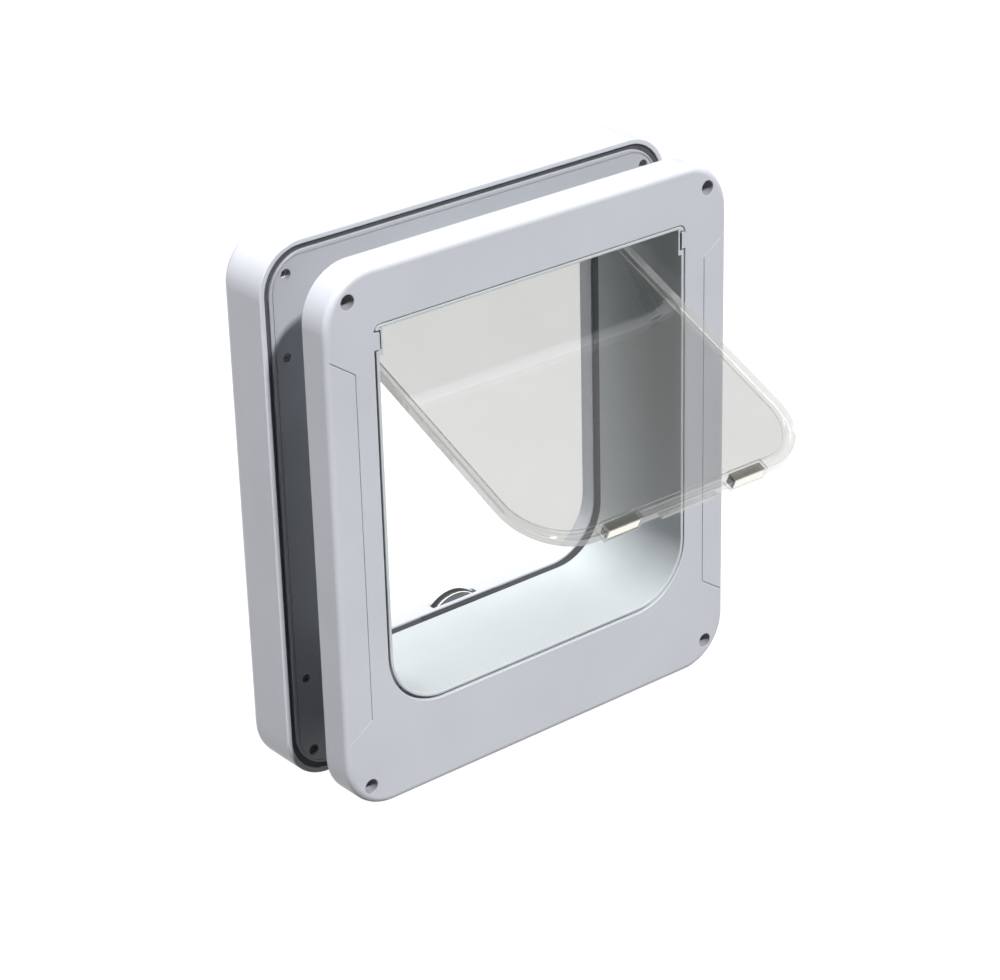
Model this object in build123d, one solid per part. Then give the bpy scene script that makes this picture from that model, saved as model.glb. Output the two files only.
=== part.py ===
from build123d import *
import os

# A pet door in millimetres. X runs right and Z up as seen from outdoors, Y runs into the house.
# The origin is the middle of the four fixing holes, on the outdoor face of the front frame.

# Front frame, on the outdoor face of the door
HOLE_PITCH_X = 200.0
HOLE_PITCH_Z = 228.0
FIXING_HOLE_R = 3.3
FIXING_EDGE_R = 0.35
FRAME_MARGIN = 12.0
FRAME_DEPTH = 16.0
FRAME_CORNER_R = 24.0
FRAME_EDGE_R = 3.0
APERTURE_EDGE_R = 0.5
FRAME_WALL = 2.5
FRAME_RIB = 1.8
BOSS_WALL = 2.4
REVEAL_GAP = 0.8
REVEAL_SHIFT = 0.4
REVEAL_DEPTH = 5.0
LINE_INSET = 14.0
LINE_STRAIGHT = 163.0
LINE_RISE = 9.5
LINE_WIDTH = 0.7
LINE_DEPTH = 0.5
KEY_DROP = 3.2
KEY_HEIGHT = 7.4
KEY_DEPTH = 4.0
KEY_REACH = 0.2
KEY_GAP = 0.9
KEY_PAD = 1.9
KEY_PAD_MARGIN = 3.0
KEY_PAD_LENGTH = 9.0

# Tunnel through the door
DOOR_THICKNESS = 26.7
TUNNEL_WIDTH = 169.5
TUNNEL_HEIGHT = 180.0
TUNNEL_RAISE = 8.3
TUNNEL_BOTTOM_R = 27.0
TUNNEL_TOP_R = 1.2
SLEEVE_WALL = 1.5
SLEEVE_SETBACK = 0.4
SLEEVE_EDGE_R = 0.4
SLEEVE_FIT = 0.2
FLANGE_WIDTH = 5.0
FLANGE_T = 2.0

# Indoor unit
PLATE_MARGIN = 9.1
PLATE_T = 2.8
PLATE_CORNER_R = 19.0
PLATE_EDGE_R = 0.5
PLATE_HOLE_R = 2.5
PLATE_LINE_INSET = 1.65
PLATE_LINE_CORNER_R = 15.5
PLATE_LINE_WIDTH = 0.4
PLATE_LINE_DEPTH = 0.4
PLATE_SCREW_X = 101.8
PLATE_SCREW_Z = 77.0
PLATE_SCREW_R = 1.2
PLATE_SCREW_LENGTH = 11.0
SCREW_HEAD_R = 2.1
SCREW_HEAD_T = 1.5
SCREW_SINK = 0.8
SCREW_CROSS_LENGTH = 2.8
SCREW_CROSS_WIDTH = 0.6
SCREW_CROSS_DEPTH = 0.8
SCREW_FIT = 0.05
RIM_GROOVE = 2.1
RIM_SEAL_SINK = 1.0
RIM_SEAL_FIT = 0.1
SHELL_DEPTH = 28.0
SHELL_WALL = 2.6
SHELL_CORNER_R = 22.0
SHELL_EDGE_R = 5.0
RIM_EDGE_R = 0.6
BACK_APERTURE_R = 1.2
COLLAR_LENGTH = 8.7
COLLAR_WALL = 1.6
COLLAR_FIT = 0.1
FIXING_PILOT_R = 2.2
FIXING_PILOT_DEPTH = 16.0

# Draught seal in its channel, at the flap's closed place
BAND_WIDTH = 5.2
CHANNEL_DEPTH = 3.0
SEAL_SINK = 0.7
SEAL_FIT = 0.1
SEAL_PIN_GAP = 0.4

# Flap, drawn hanging closed and then swung outdoors to its rest angle
FLAP_REST_ANGLE = 65.0
HINGE_DROP = 1.9
FLAP_SIDE_GAP = 5.45
FLAP_FOOT_GAP = 8.5
FLAP_CORNER_R = 30.0
FLAP_WEB_T = 2.4
FLAP_RIM_T = 4.4
FLAP_RIM_WIDTH = 3.6
FLAP_FOOT_WIDTH = 5.6
FLAP_EDGE_R = 0.8
TONGUE_WIDTH = 31.0
TONGUE_REACH = 2.1
TONGUE_T = 2.0
MAGNET_X = 35.4
MAGNET_LENGTH = 17.2
MAGNET_HIGH = 4.5
MAGNET_THICK = 4.9
MAGNET_SINK = 0.3
MAGNET_FIT = 0.05
MAGNET_CHAMFER = 0.2
POCKET_WALL = 1.0
POCKET_DROP = 0.6
PIN_R = 1.6
PIN_SEAT = 10.0
PIN_FIT = 0.02
RUNNING_FIT = 0.05
BUSH_WALL = 0.9
HINGE_BLOCK_LENGTH = 7.5
HINGE_BLOCK_HALF = 5.0

# Latches under the sill
BLADE_WIDTH = 44.0
BLADE_T = 1.0
BLADE_TRAVEL = 8.0
BLADE_SINK = 0.5
BLADE_FIT = 0.15
BLADE_BAR_REACH = 10.0
BLADE_BAR_HEIGHT = 7.0
FOOT_T = 2.5
FOOT_WIDTH = 8.0
GUIDE_FIT = 0.2
GUIDE_WALL = 0.4
GUIDE_FLANGE_T = 2.1
PLUNGER_R = 2.5
PLUNGER_FIT = 0.08
PLUNGER_IN = 12.0
PLUNGER_OUT = 4.0
PLUNGER_END_GAP = 1.0
SOLENOID_SIDE = 11.0
SOLENOID_HEIGHT = 16.0
SOLENOID_SETBACK = 0.4
SPRING_R = 2.0
SPRING_WIRE_R = 0.3
SPRING_TURNS = 5
SPRING_FIT = 0.1

# Lock dial that stands out of the sill, with its grip in the indoor face
DIAL_R = 17.8
DIAL_RISE = 3.7
DIAL_T = 3.6
DIAL_CHAMFER = 0.7
DIAL_RUNNING_GAP = 0.2
DIAL_SLOT_MARGIN = 2.2
KNOB_R = 11.8
KNOB_FIT = 0.3
KNOB_RIM = 1.3
KNOB_SETBACK = 0.2
GRIP_WIDTH = 4.0
GRIP_HEIGHT = 2.0
POST_R = 3.0
POST_FIT = 0.06
POST_FLOOR = 1.0
MODE_MAGNET_R = 2.5
MODE_MAGNET_T = 1.6
MODE_MAGNET_OFFSET = 10.0
RETAINER_T = 1.5
RETAINER_GAP = 0.3
RETAINER_HEIGHT = 30.0
RETAINER_DROP = 7.0
RETAINER_SCREW_INSET = 3.5
RETAINER_SCREW_DROP = 15.0

# Electronics in the top rail
BOARD_WIDTH = 130.0
BOARD_HEIGHT = 17.0
BOARD_T = 1.6
BOARD_RAISE = 1.5
BOARD_BACKSET = 16.0
BOARD_SCREW_INSET_X = 5.0
BOARD_SCREW_INSET_Z = 3.5
SMALL_BOSS_R = 2.8
SMALL_SCREW_R = 1.0
SMALL_SCREW_LENGTH = 7.0
SMALL_HEAD_R = 1.9
SMALL_HEAD_T = 1.2
CHIP_T = 1.4
CHIPS = ((-42.0, 14.0, 10.0), (0.0, 12.0, 12.0), (38.0, 16.0, 9.0))
SWITCH_SIDE = 6.0
SWITCH_HEIGHT = 3.6
BUTTON_X = 18.0
BUTTON_R = 4.4
BUTTON_FIT = 0.3
BUTTON_EDGE_R = 0.6
BUTTON_TRAVEL = 1.0
BUTTON_FLANGE = 1.2
BUTTON_STEM_R = 2.0
PIPE_X = -18.0
PIPE_R = 1.8
PIPE_FIT = 0.1
PIPE_FLANGE = 1.2
PIPE_FLANGE_T = 1.5
COIL_WIDTH = 5.0
COIL_T = 2.5
COIL_FIT = 0.2
COIL_SETBACK = 0.6

# Batteries in the bottom rail, one pair a side
CELL_R = 7.1
CELL_LENGTH = 49.5
CELL_NUB_R = 2.7
CELL_NUB = 1.0
CELL_GAP = 1.3
CELL_FIT = 0.3
BOX_WALL = 1.2
BOX_START_X = 36.5
CONTACT_T = 0.4
CONTACT_ROOM = 1.2
COVER_LIP = 2.0
COVER_FIT = 0.3
COVER_T = 2.3
COVER_CORNER_R = 1.5
COVER_NOTCH_WIDTH = 8.0
COVER_NOTCH_DEPTH = 1.2

# Planes and edges that the pieces share
FRAME_WIDTH = HOLE_PITCH_X + 2 * FRAME_MARGIN
FRAME_HEIGHT = HOLE_PITCH_Z + 2 * FRAME_MARGIN
PLATE_WIDTH = HOLE_PITCH_X + 2 * PLATE_MARGIN
PLATE_HEIGHT = HOLE_PITCH_Z + 2 * PLATE_MARGIN
CAVITY_WIDTH = PLATE_WIDTH + 2 * RIM_GROOVE
CAVITY_HEIGHT = PLATE_HEIGHT + 2 * RIM_GROOVE
SHELL_WIDTH = CAVITY_WIDTH + 2 * SHELL_WALL
SHELL_HEIGHT = CAVITY_HEIGHT + 2 * SHELL_WALL
PLATE_Y = FRAME_DEPTH + DOOR_THICKNESS
PLATE_BACK_Y = PLATE_Y + PLATE_T
BACK_Y = PLATE_Y + SHELL_DEPTH
CAVITY_BACK_Y = BACK_Y - SHELL_WALL
BAND_BACK_Y = BACK_Y - COLLAR_LENGTH
BAND_FRONT_Y = BAND_BACK_Y - BAND_WIDTH
HALF_TUNNEL = TUNNEL_WIDTH / 2
SILL_Z = TUNNEL_RAISE - TUNNEL_HEIGHT / 2
CEILING_Z = TUNNEL_RAISE + TUNNEL_HEIGHT / 2
HINGE_Y = (BAND_FRONT_Y + BAND_BACK_Y) / 2
HINGE_Z = CEILING_Z - HINGE_DROP
FLAP_WIDTH = TUNNEL_WIDTH - 2 * FLAP_SIDE_GAP
FLAP_LENGTH = HINGE_Z - SILL_Z - FLAP_FOOT_GAP
CHANNEL_FLOOR_Z = SILL_Z - CHANNEL_DEPTH - SLEEVE_WALL
FIXING_HOLES = [(sx * HOLE_PITCH_X / 2, sz * HOLE_PITCH_Z / 2) for sx in (-1, 1) for sz in (-1, 1)]
PLATE_SCREWS = [(sx * PLATE_SCREW_X, sz * PLATE_SCREW_Z) for sx in (-1, 1) for sz in (-1, 1)]
BUSH_R = PIN_R + RUNNING_FIT + BUSH_WALL
RAIL_BOTTOM_Z = -CAVITY_HEIGHT / 2


def face_plane(y):
    """The plane across the door at depth y, with X right and Z up."""
    return Plane(origin=(0, y, 0), x_dir=(1, 0, 0), z_dir=(0, -1, 0))


def slab(outline, y_front, y_back):
    """An outline drawn in X and Z, from one depth to another."""
    return extrude(face_plane(y_back) * outline, amount=y_back - y_front)


def block(x, y, z):
    """A box between pairs of limits, each pair in either order."""
    size = [abs(high - low) for low, high in (x, y, z)]
    middle = [(high + low) / 2 for low, high in (x, y, z)]
    return Pos(*middle) * Box(*size)


def rod(x, z, radius, y_front, y_back):
    """A round bar along Y."""
    return slab(Pos(x, z) * Circle(radius), y_front, y_back)


def upright(x, y, radius, z_low, z_high):
    """A round bar along Z."""
    return Pos(x, y, (z_low + z_high) / 2) * Cylinder(radius, z_high - z_low)


def cross_rod(y, z, radius, x_low, x_high):
    """A round bar along X."""
    return Pos((x_low + x_high) / 2, y, z) * Rot(0, 90, 0) * Cylinder(radius, abs(x_high - x_low))


def front_face(piece):
    """The outermost face of a piece on its outdoor side."""
    return piece.faces().sort_by(Axis.Y)[0]


def tunnel_outline(grow):
    """The passage's outline, grown outwards: large corners at the sill, small ones at the ceiling."""
    outline = Pos(0, TUNNEL_RAISE) * Rectangle(TUNNEL_WIDTH + 2 * grow, TUNNEL_HEIGHT + 2 * grow)
    outline = fillet(outline.vertices().group_by(Axis.Y)[0], TUNNEL_BOTTOM_R + grow)
    return fillet(outline.vertices().group_by(Axis.Y)[-1], TUNNEL_TOP_R + grow)


def reveal_outline():
    """The front frame's aperture, in which the sleeve stands nearer to the top and right edges."""
    return Pos(-REVEAL_SHIFT, -REVEAL_SHIFT) * tunnel_outline(SLEEVE_WALL + REVEAL_GAP)


def key_block(side, gap):
    """A key tab of the front frame, or with a gap the notch that takes it."""
    inner = HALF_TUNNEL - KEY_REACH - gap
    outer = HALF_TUNNEL + SLEEVE_WALL + REVEAL_GAP + REVEAL_SHIFT + APERTURE_EDGE_R + gap
    top = CEILING_Z + SLEEVE_WALL - KEY_DROP + gap
    return block((side * inner, side * outer), (-gap, KEY_DEPTH + gap), (top - KEY_HEIGHT - 2 * gap, top))


# Front frame
def front_ribs():
    """Ribs between the collar and the outer wall, behind the front face."""
    half_width = FRAME_WIDTH / 2
    half_height = FRAME_HEIGHT / 2
    depth = (FRAME_WALL, FRAME_DEPTH - FRAME_RIB)
    ribs = []
    for x in (-HALF_TUNNEL / 2, 0, HALF_TUNNEL / 2):
        ribs.append(block((x - FRAME_RIB / 2, x + FRAME_RIB / 2), depth, (-half_height, SILL_Z)))
        ribs.append(block((x - FRAME_RIB / 2, x + FRAME_RIB / 2), depth, (CEILING_Z, half_height)))
    for z in (-HALF_TUNNEL / 2, 0, HALF_TUNNEL / 2):
        ribs.append(block((-half_width, -HALF_TUNNEL), depth, (z - FRAME_RIB / 2, z + FRAME_RIB / 2)))
        ribs.append(block((HALF_TUNNEL, half_width), depth, (z - FRAME_RIB / 2, z + FRAME_RIB / 2)))
    return ribs


def make_front_frame():
    body = slab(RectangleRounded(FRAME_WIDTH, FRAME_HEIGHT, FRAME_CORNER_R), 0, FRAME_DEPTH)
    body = fillet(body.edges().group_by(Axis.Y)[0], FRAME_EDGE_R)
    hollow_outline = RectangleRounded(
        FRAME_WIDTH - 2 * FRAME_WALL, FRAME_HEIGHT - 2 * FRAME_WALL, FRAME_CORNER_R - FRAME_WALL)
    hollow = slab(hollow_outline, FRAME_WALL, FRAME_DEPTH)
    hollow -= slab(tunnel_outline(SLEEVE_WALL + REVEAL_GAP + FRAME_WALL), 0, FRAME_DEPTH)
    for x, z in FIXING_HOLES:
        hollow -= rod(x, z, FIXING_HOLE_R + BOSS_WALL, 0, FRAME_DEPTH)
    for rib in front_ribs():
        hollow -= rib
    body -= hollow
    body -= slab(tunnel_outline(SLEEVE_WALL + SLEEVE_FIT), 0, FRAME_DEPTH)
    body -= slab(reveal_outline(), 0, REVEAL_DEPTH)
    body = fillet(front_face(body).inner_wires()[0].edges(), APERTURE_EDGE_R)
    for x, z in FIXING_HOLES:
        body -= rod(x, z, FIXING_HOLE_R, 0, FRAME_DEPTH)
    hole_rims = front_face(body).edges().filter_by(GeomType.CIRCLE).filter_by(
        lambda edge: abs(edge.radius - FIXING_HOLE_R) < FIXING_EDGE_R)
    body = fillet(hole_rims, FIXING_EDGE_R)
    for side in (-1, 1):
        line_x = side * (FRAME_WIDTH / 2 - LINE_INSET)
        edge_x = side * FRAME_WIDTH / 2
        bend_z = LINE_STRAIGHT / 2
        end_z = bend_z + LINE_RISE
        path = Polyline((edge_x, end_z), (line_x, bend_z), (line_x, -bend_z), (edge_x, -end_z))
        body -= slab(trace(path, LINE_WIDTH), 0, LINE_DEPTH)
        body += key_block(side, 0)
    return body


# Tunnel
def make_tunnel_sleeve():
    sleeve = slab(tunnel_outline(SLEEVE_WALL), SLEEVE_SETBACK, BAND_FRONT_Y)
    sleeve += slab(tunnel_outline(SLEEVE_WALL + FLANGE_WIDTH), PLATE_BACK_Y, PLATE_BACK_Y + FLANGE_T)
    sleeve += slab(tunnel_outline(CHANNEL_DEPTH + SLEEVE_WALL), BAND_FRONT_Y - SLEEVE_WALL, BAND_BACK_Y)
    for side in (-1, 1):
        inner = HALF_TUNNEL + CHANNEL_DEPTH
        sleeve += block(
            (side * inner, side * (inner + HINGE_BLOCK_LENGTH)),
            (BAND_FRONT_Y - SLEEVE_WALL, BAND_BACK_Y),
            (HINGE_Z - HINGE_BLOCK_HALF, HINGE_Z + HINGE_BLOCK_HALF))
    sleeve -= slab(tunnel_outline(0), 0, BAND_FRONT_Y)
    sleeve -= slab(tunnel_outline(CHANNEL_DEPTH), BAND_FRONT_Y, BAND_BACK_Y)
    sleeve = fillet(front_face(sleeve).edges(), SLEEVE_EDGE_R)
    pad_top = CEILING_Z
    pad_low = CEILING_Z + SLEEVE_WALL - KEY_DROP - KEY_HEIGHT - KEY_PAD_MARGIN
    for side in (-1, 1):
        sleeve += block(
            (side * (HALF_TUNNEL - KEY_PAD), side * (HALF_TUNNEL + SLEEVE_WALL / 2)),
            (SLEEVE_SETBACK, SLEEVE_SETBACK + KEY_PAD_LENGTH), (pad_low, pad_top)
        ) & slab(tunnel_outline(SLEEVE_WALL), 0, BAND_FRONT_Y)
        sleeve -= key_block(side, KEY_GAP)
        inner = HALF_TUNNEL + CHANNEL_DEPTH
        sleeve -= cross_rod(HINGE_Y, HINGE_Z, BUSH_R + PIN_FIT, side * (inner - SLEEVE_WALL),
                            side * (inner + HINGE_BLOCK_LENGTH))
    for x, z in PLATE_SCREWS:
        sleeve -= rod(x, z, PLATE_SCREW_R + BOSS_WALL + SLEEVE_FIT, PLATE_BACK_Y, BAND_FRONT_Y - SLEEVE_WALL)
    guide_half = BLADE_WIDTH / 2 + BLADE_FIT + GUIDE_WALL + GUIDE_FIT
    sleeve -= block((-guide_half, guide_half), (BAND_FRONT_Y, BAND_BACK_Y), (CHANNEL_FLOOR_Z, SILL_Z))
    return sleeve


def make_draught_seal():
    front = BAND_FRONT_Y + SEAL_FIT
    back = BAND_BACK_Y - SEAL_FIT
    seal = slab(tunnel_outline(CHANNEL_DEPTH - SEAL_FIT), front, back)
    seal -= slab(tunnel_outline(SEAL_SINK), front, back)
    seal -= cross_rod(HINGE_Y, HINGE_Z, PIN_R + SEAL_PIN_GAP,
                      -HALF_TUNNEL - CHANNEL_DEPTH, HALF_TUNNEL + CHANNEL_DEPTH)
    guide_half = BLADE_WIDTH / 2 + BLADE_FIT + GUIDE_WALL + GUIDE_FIT
    seal -= block((-guide_half, guide_half), (front, back), (SILL_Z - CHANNEL_DEPTH, SILL_Z))
    return seal


# Indoor unit
def make_backing_plate():
    plate = slab(RectangleRounded(PLATE_WIDTH, PLATE_HEIGHT, PLATE_CORNER_R), PLATE_Y, PLATE_BACK_Y)
    plate = fillet(front_face(plate).edges(), PLATE_EDGE_R)
    plate -= slab(tunnel_outline(SLEEVE_WALL + SLEEVE_FIT), PLATE_Y, PLATE_BACK_Y)
    outer_inset = 2 * PLATE_LINE_INSET
    inner_inset = outer_inset + 2 * PLATE_LINE_WIDTH
    line = RectangleRounded(PLATE_WIDTH - outer_inset, PLATE_HEIGHT - outer_inset, PLATE_LINE_CORNER_R)
    line -= RectangleRounded(
        PLATE_WIDTH - inner_inset, PLATE_HEIGHT - inner_inset, PLATE_LINE_CORNER_R - PLATE_LINE_WIDTH)
    plate -= slab(line, PLATE_Y, PLATE_Y + PLATE_LINE_DEPTH)
    for x, z in FIXING_HOLES:
        plate -= rod(x, z, PLATE_HOLE_R, PLATE_Y, PLATE_BACK_Y)
    for x, z in PLATE_SCREWS:
        plate -= rod(x, z, SCREW_HEAD_R + SCREW_FIT, PLATE_Y, PLATE_Y + SCREW_SINK + SCREW_HEAD_T)
        plate -= rod(x, z, PLATE_SCREW_R + SCREW_FIT, PLATE_Y, PLATE_BACK_Y)
    return plate


def make_plate_screws():
    head_y = PLATE_Y + SCREW_SINK
    seat_y = head_y + SCREW_HEAD_T
    screws = Part()
    for x, z in PLATE_SCREWS:
        head = rod(x, z, SCREW_HEAD_R, head_y, seat_y)
        for turn in (0, 90):
            cross = Pos(x, z) * Rot(0, 0, turn) * Rectangle(SCREW_CROSS_LENGTH, SCREW_CROSS_WIDTH)
            head -= slab(cross, head_y, head_y + SCREW_CROSS_DEPTH)
        screws += head + rod(x, z, PLATE_SCREW_R, seat_y, seat_y + PLATE_SCREW_LENGTH)
    return screws


def make_perimeter_seal():
    front = PLATE_Y + RIM_SEAL_SINK
    back = PLATE_BACK_Y
    cavity_corner = SHELL_CORNER_R - SHELL_WALL
    ring = slab(RectangleRounded(
        CAVITY_WIDTH - 2 * RIM_SEAL_FIT, CAVITY_HEIGHT - 2 * RIM_SEAL_FIT, cavity_corner - RIM_SEAL_FIT),
        front, back)
    ring -= slab(RectangleRounded(
        PLATE_WIDTH + 2 * RIM_SEAL_FIT, PLATE_HEIGHT + 2 * RIM_SEAL_FIT, PLATE_CORNER_R + RIM_SEAL_FIT),
        front, back)
    return ring


def battery_limits(side):
    """Inner limits of one battery box: along X from the middle outwards, and along Z."""
    start = side * (BOX_START_X + BOX_WALL)
    end = side * (BOX_START_X + BOX_WALL + CELL_LENGTH + CELL_NUB + 2 * CONTACT_ROOM)
    height = 4 * CELL_R + CELL_GAP + 2 * CELL_FIT
    middle = (RAIL_BOTTOM_Z + CHANNEL_FLOOR_Z) / 2
    return (start, end), (middle - height / 2, middle + height / 2)


def cover_limits(side, gap):
    """Limits of a battery cover, or with a gap of the opening that takes it."""
    (start, end), (low, high) = battery_limits(side)
    inset = COVER_LIP - gap
    return (start + side * inset, end - side * inset), (low + inset, high - inset)


def board_z():
    """Middle height of the control board."""
    return CEILING_Z + SLEEVE_WALL + COIL_FIT + COIL_T + BOARD_RAISE + BOARD_HEIGHT / 2


def dial_z():
    """Height of the dial's axis: its rim stands out of the sill by the dial's rise."""
    return SILL_Z + DIAL_RISE - DIAL_R


def dial_back_y():
    """Depth of the dial's indoor face, just clear of the shell's back wall."""
    return CAVITY_BACK_Y - DIAL_RUNNING_GAP


def board_posts():
    """Places of the board's screws."""
    reach_x = BOARD_WIDTH / 2 - BOARD_SCREW_INSET_X
    reach_z = BOARD_HEIGHT / 2 - BOARD_SCREW_INSET_Z
    return [(sx * reach_x, board_z() + sz * reach_z) for sx in (-1, 1) for sz in (-1, 1)]


def foot_x(side):
    """Middle of a blade's foot, beyond the blade's own width."""
    return side * (BLADE_WIDTH / 2 + BLADE_BAR_REACH - FOOT_WIDTH / 2)


def retainer_reach():
    """Half width of the dial retainer, which ends beside the return springs."""
    return foot_x(1) - SPRING_R


def retainer_posts():
    """Places of the dial retainer's screws."""
    x = retainer_reach() - RETAINER_SCREW_INSET
    return [(sx * x, dial_z() - RETAINER_SCREW_DROP) for sx in (-1, 1)]


def make_rear_shell():
    shell = slab(RectangleRounded(SHELL_WIDTH, SHELL_HEIGHT, SHELL_CORNER_R), PLATE_Y, BACK_Y)
    shell = fillet(shell.edges().group_by(Axis.Y)[-1], SHELL_EDGE_R)
    shell -= slab(RectangleRounded(CAVITY_WIDTH, CAVITY_HEIGHT, SHELL_CORNER_R - SHELL_WALL),
                  PLATE_Y, CAVITY_BACK_Y)
    shell = fillet(front_face(shell).edges(), RIM_EDGE_R)
    shell += slab(tunnel_outline(COLLAR_WALL), BAND_BACK_Y + COLLAR_FIT, CAVITY_BACK_Y)
    shell -= slab(tunnel_outline(0), BAND_BACK_Y, BACK_Y)
    back_face = shell.faces().sort_by(Axis.Y)[-1]
    shell = fillet(back_face.inner_wires()[0].edges(), BACK_APERTURE_R)
    for x, z in FIXING_HOLES:
        shell += rod(x, z, PLATE_HOLE_R + BOSS_WALL, PLATE_BACK_Y, CAVITY_BACK_Y)
        shell -= rod(x, z, FIXING_PILOT_R, PLATE_BACK_Y, PLATE_BACK_Y + FIXING_PILOT_DEPTH)
    screw_tip = PLATE_Y + SCREW_SINK + SCREW_HEAD_T + PLATE_SCREW_LENGTH
    for x, z in PLATE_SCREWS:
        shell += rod(x, z, PLATE_SCREW_R + BOSS_WALL, PLATE_BACK_Y, CAVITY_BACK_Y)
        shell -= rod(x, z, PLATE_SCREW_R + SCREW_FIT, PLATE_BACK_Y, screw_tip + SCREW_FIT)
    board_back = CAVITY_BACK_Y - BOARD_BACKSET
    for x, z in board_posts():
        shell += rod(x, z, SMALL_BOSS_R, board_back + BOARD_T, CAVITY_BACK_Y)
        shell -= rod(x, z, SMALL_SCREW_R + SCREW_FIT, board_back, board_back + SMALL_SCREW_LENGTH + SCREW_FIT)
    retainer_back = dial_back_y() - DIAL_T - RETAINER_GAP
    for x, z in retainer_posts():
        shell += rod(x, z, SMALL_BOSS_R, retainer_back, CAVITY_BACK_Y)
        screw_end = retainer_back - RETAINER_T + SMALL_SCREW_LENGTH
        shell -= rod(x, z, SMALL_SCREW_R + SCREW_FIT, retainer_back, screw_end + SCREW_FIT)
    slot_half = (DIAL_R ** 2 - (DIAL_R - DIAL_RISE) ** 2) ** 0.5 + DIAL_SLOT_MARGIN
    shell -= block((-slot_half, slot_half),
                   (dial_back_y() - DIAL_T - DIAL_RUNNING_GAP, CAVITY_BACK_Y),
                   (SILL_Z - COLLAR_WALL, SILL_Z))
    shell -= rod(0, dial_z(), KNOB_R + KNOB_FIT, CAVITY_BACK_Y, BACK_Y)
    shell -= rod(BUTTON_X, board_z(), BUTTON_R + BUTTON_FIT, CAVITY_BACK_Y, BACK_Y)
    shell -= rod(PIPE_X, board_z(), PIPE_R + PIPE_FIT, CAVITY_BACK_Y, BACK_Y)
    for side in (-1, 1):
        x, z = cover_limits(side, COVER_FIT)
        shell -= block(x, (CAVITY_BACK_Y, BACK_Y), z)
    return shell


# Flap and its pivots
def make_flap_panel():
    foot_z = HINGE_Z - FLAP_LENGTH
    outline = Pos(0, (HINGE_Z + foot_z) / 2) * Rectangle(FLAP_WIDTH, FLAP_LENGTH)
    outline = fillet(outline.vertices().group_by(Axis.Y)[0], FLAP_CORNER_R)
    well_width = FLAP_WIDTH - 2 * FLAP_RIM_WIDTH
    well_low = foot_z + FLAP_FOOT_WIDTH
    well_high = HINGE_Z - FLAP_RIM_T / 2
    well = Pos(0, (well_low + well_high) / 2) * Rectangle(well_width, well_high - well_low)
    well = fillet(well.vertices().group_by(Axis.Y)[0], FLAP_CORNER_R - FLAP_RIM_WIDTH)
    half_rim = FLAP_RIM_T / 2
    half_web = FLAP_WEB_T / 2
    panel = slab(outline, HINGE_Y - half_rim, HINGE_Y + half_rim)
    broad_faces = panel.faces().filter_by(Axis.Y)
    panel = fillet(broad_faces.edges().sort_by(Axis.Z)[:-2], FLAP_EDGE_R)
    panel -= slab(well, HINGE_Y - half_rim, HINGE_Y - half_web)
    panel -= slab(well, HINGE_Y + half_web, HINGE_Y + half_rim)
    panel += cross_rod(HINGE_Y, HINGE_Z, half_rim, -FLAP_WIDTH / 2, FLAP_WIDTH / 2)
    panel += block((-TONGUE_WIDTH / 2, TONGUE_WIDTH / 2), (HINGE_Y - TONGUE_T / 2, HINGE_Y + TONGUE_T / 2),
                   (foot_z - TONGUE_REACH, foot_z + FLAP_FOOT_WIDTH))
    for side in (-1, 1):
        panel += pocket_block(side, POCKET_WALL, 0)
        panel -= pocket_block(side, MAGNET_FIT, MAGNET_SINK)
        panel -= cross_rod(HINGE_Y, HINGE_Z, PIN_R + PIN_FIT, side * (FLAP_WIDTH / 2 - PIN_SEAT),
                           side * FLAP_WIDTH / 2)
    return panel


def pocket_block(side, wall, extra_drop):
    """A magnet's place in the flap's foot, with a wall round it; the lower end takes no wall."""
    low = HINGE_Z - FLAP_LENGTH - POCKET_DROP
    half_length = MAGNET_LENGTH / 2 + wall
    half_thick = MAGNET_THICK / 2 + wall
    return block((side * MAGNET_X - half_length, side * MAGNET_X + half_length),
                 (HINGE_Y - half_thick, HINGE_Y + half_thick),
                 (low - extra_drop, low + MAGNET_SINK + MAGNET_HIGH + wall))


def make_magnet_bar(side):
    low = HINGE_Z - FLAP_LENGTH - POCKET_DROP + MAGNET_SINK
    bar = block((side * MAGNET_X - MAGNET_LENGTH / 2, side * MAGNET_X + MAGNET_LENGTH / 2),
                (HINGE_Y - MAGNET_THICK / 2, HINGE_Y + MAGNET_THICK / 2), (low, low + MAGNET_HIGH))
    return chamfer(bar.edges().filter_by(Axis.X), MAGNET_CHAMFER)


def make_hinge_pin(side):
    inner = FLAP_WIDTH / 2 - PIN_SEAT + PIN_FIT
    outer = HALF_TUNNEL + CHANNEL_DEPTH + HINGE_BLOCK_LENGTH
    return cross_rod(HINGE_Y, HINGE_Z, PIN_R, side * inner, side * outer)


def make_hinge_bush(side):
    inner = HALF_TUNNEL + CHANNEL_DEPTH
    limits = (side * inner, side * (inner + HINGE_BLOCK_LENGTH))
    bush = cross_rod(HINGE_Y, HINGE_Z, BUSH_R, *limits)
    return bush - cross_rod(HINGE_Y, HINGE_Z, PIN_R + RUNNING_FIT, *limits)


def swung(piece):
    """Turn a piece of the closed flap outdoors about the hinge, to the rest angle."""
    return piece.rotate(Axis((0, HINGE_Y, HINGE_Z), (1, 0, 0)), -FLAP_REST_ANGLE)


# Latches
def blade_y(side):
    """Middle depth of a blade: just outside the tongue, outdoors for -1 and indoors for +1."""
    return HINGE_Y + side * (TONGUE_T / 2 + BLADE_FIT + BLADE_T / 2)


def bar_top_z():
    """Top of a blade's bar, which rises to just under the guide's flange."""
    return CHANNEL_FLOOR_Z - GUIDE_FLANGE_T - BLADE_TRAVEL - 2 * GUIDE_FIT


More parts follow.
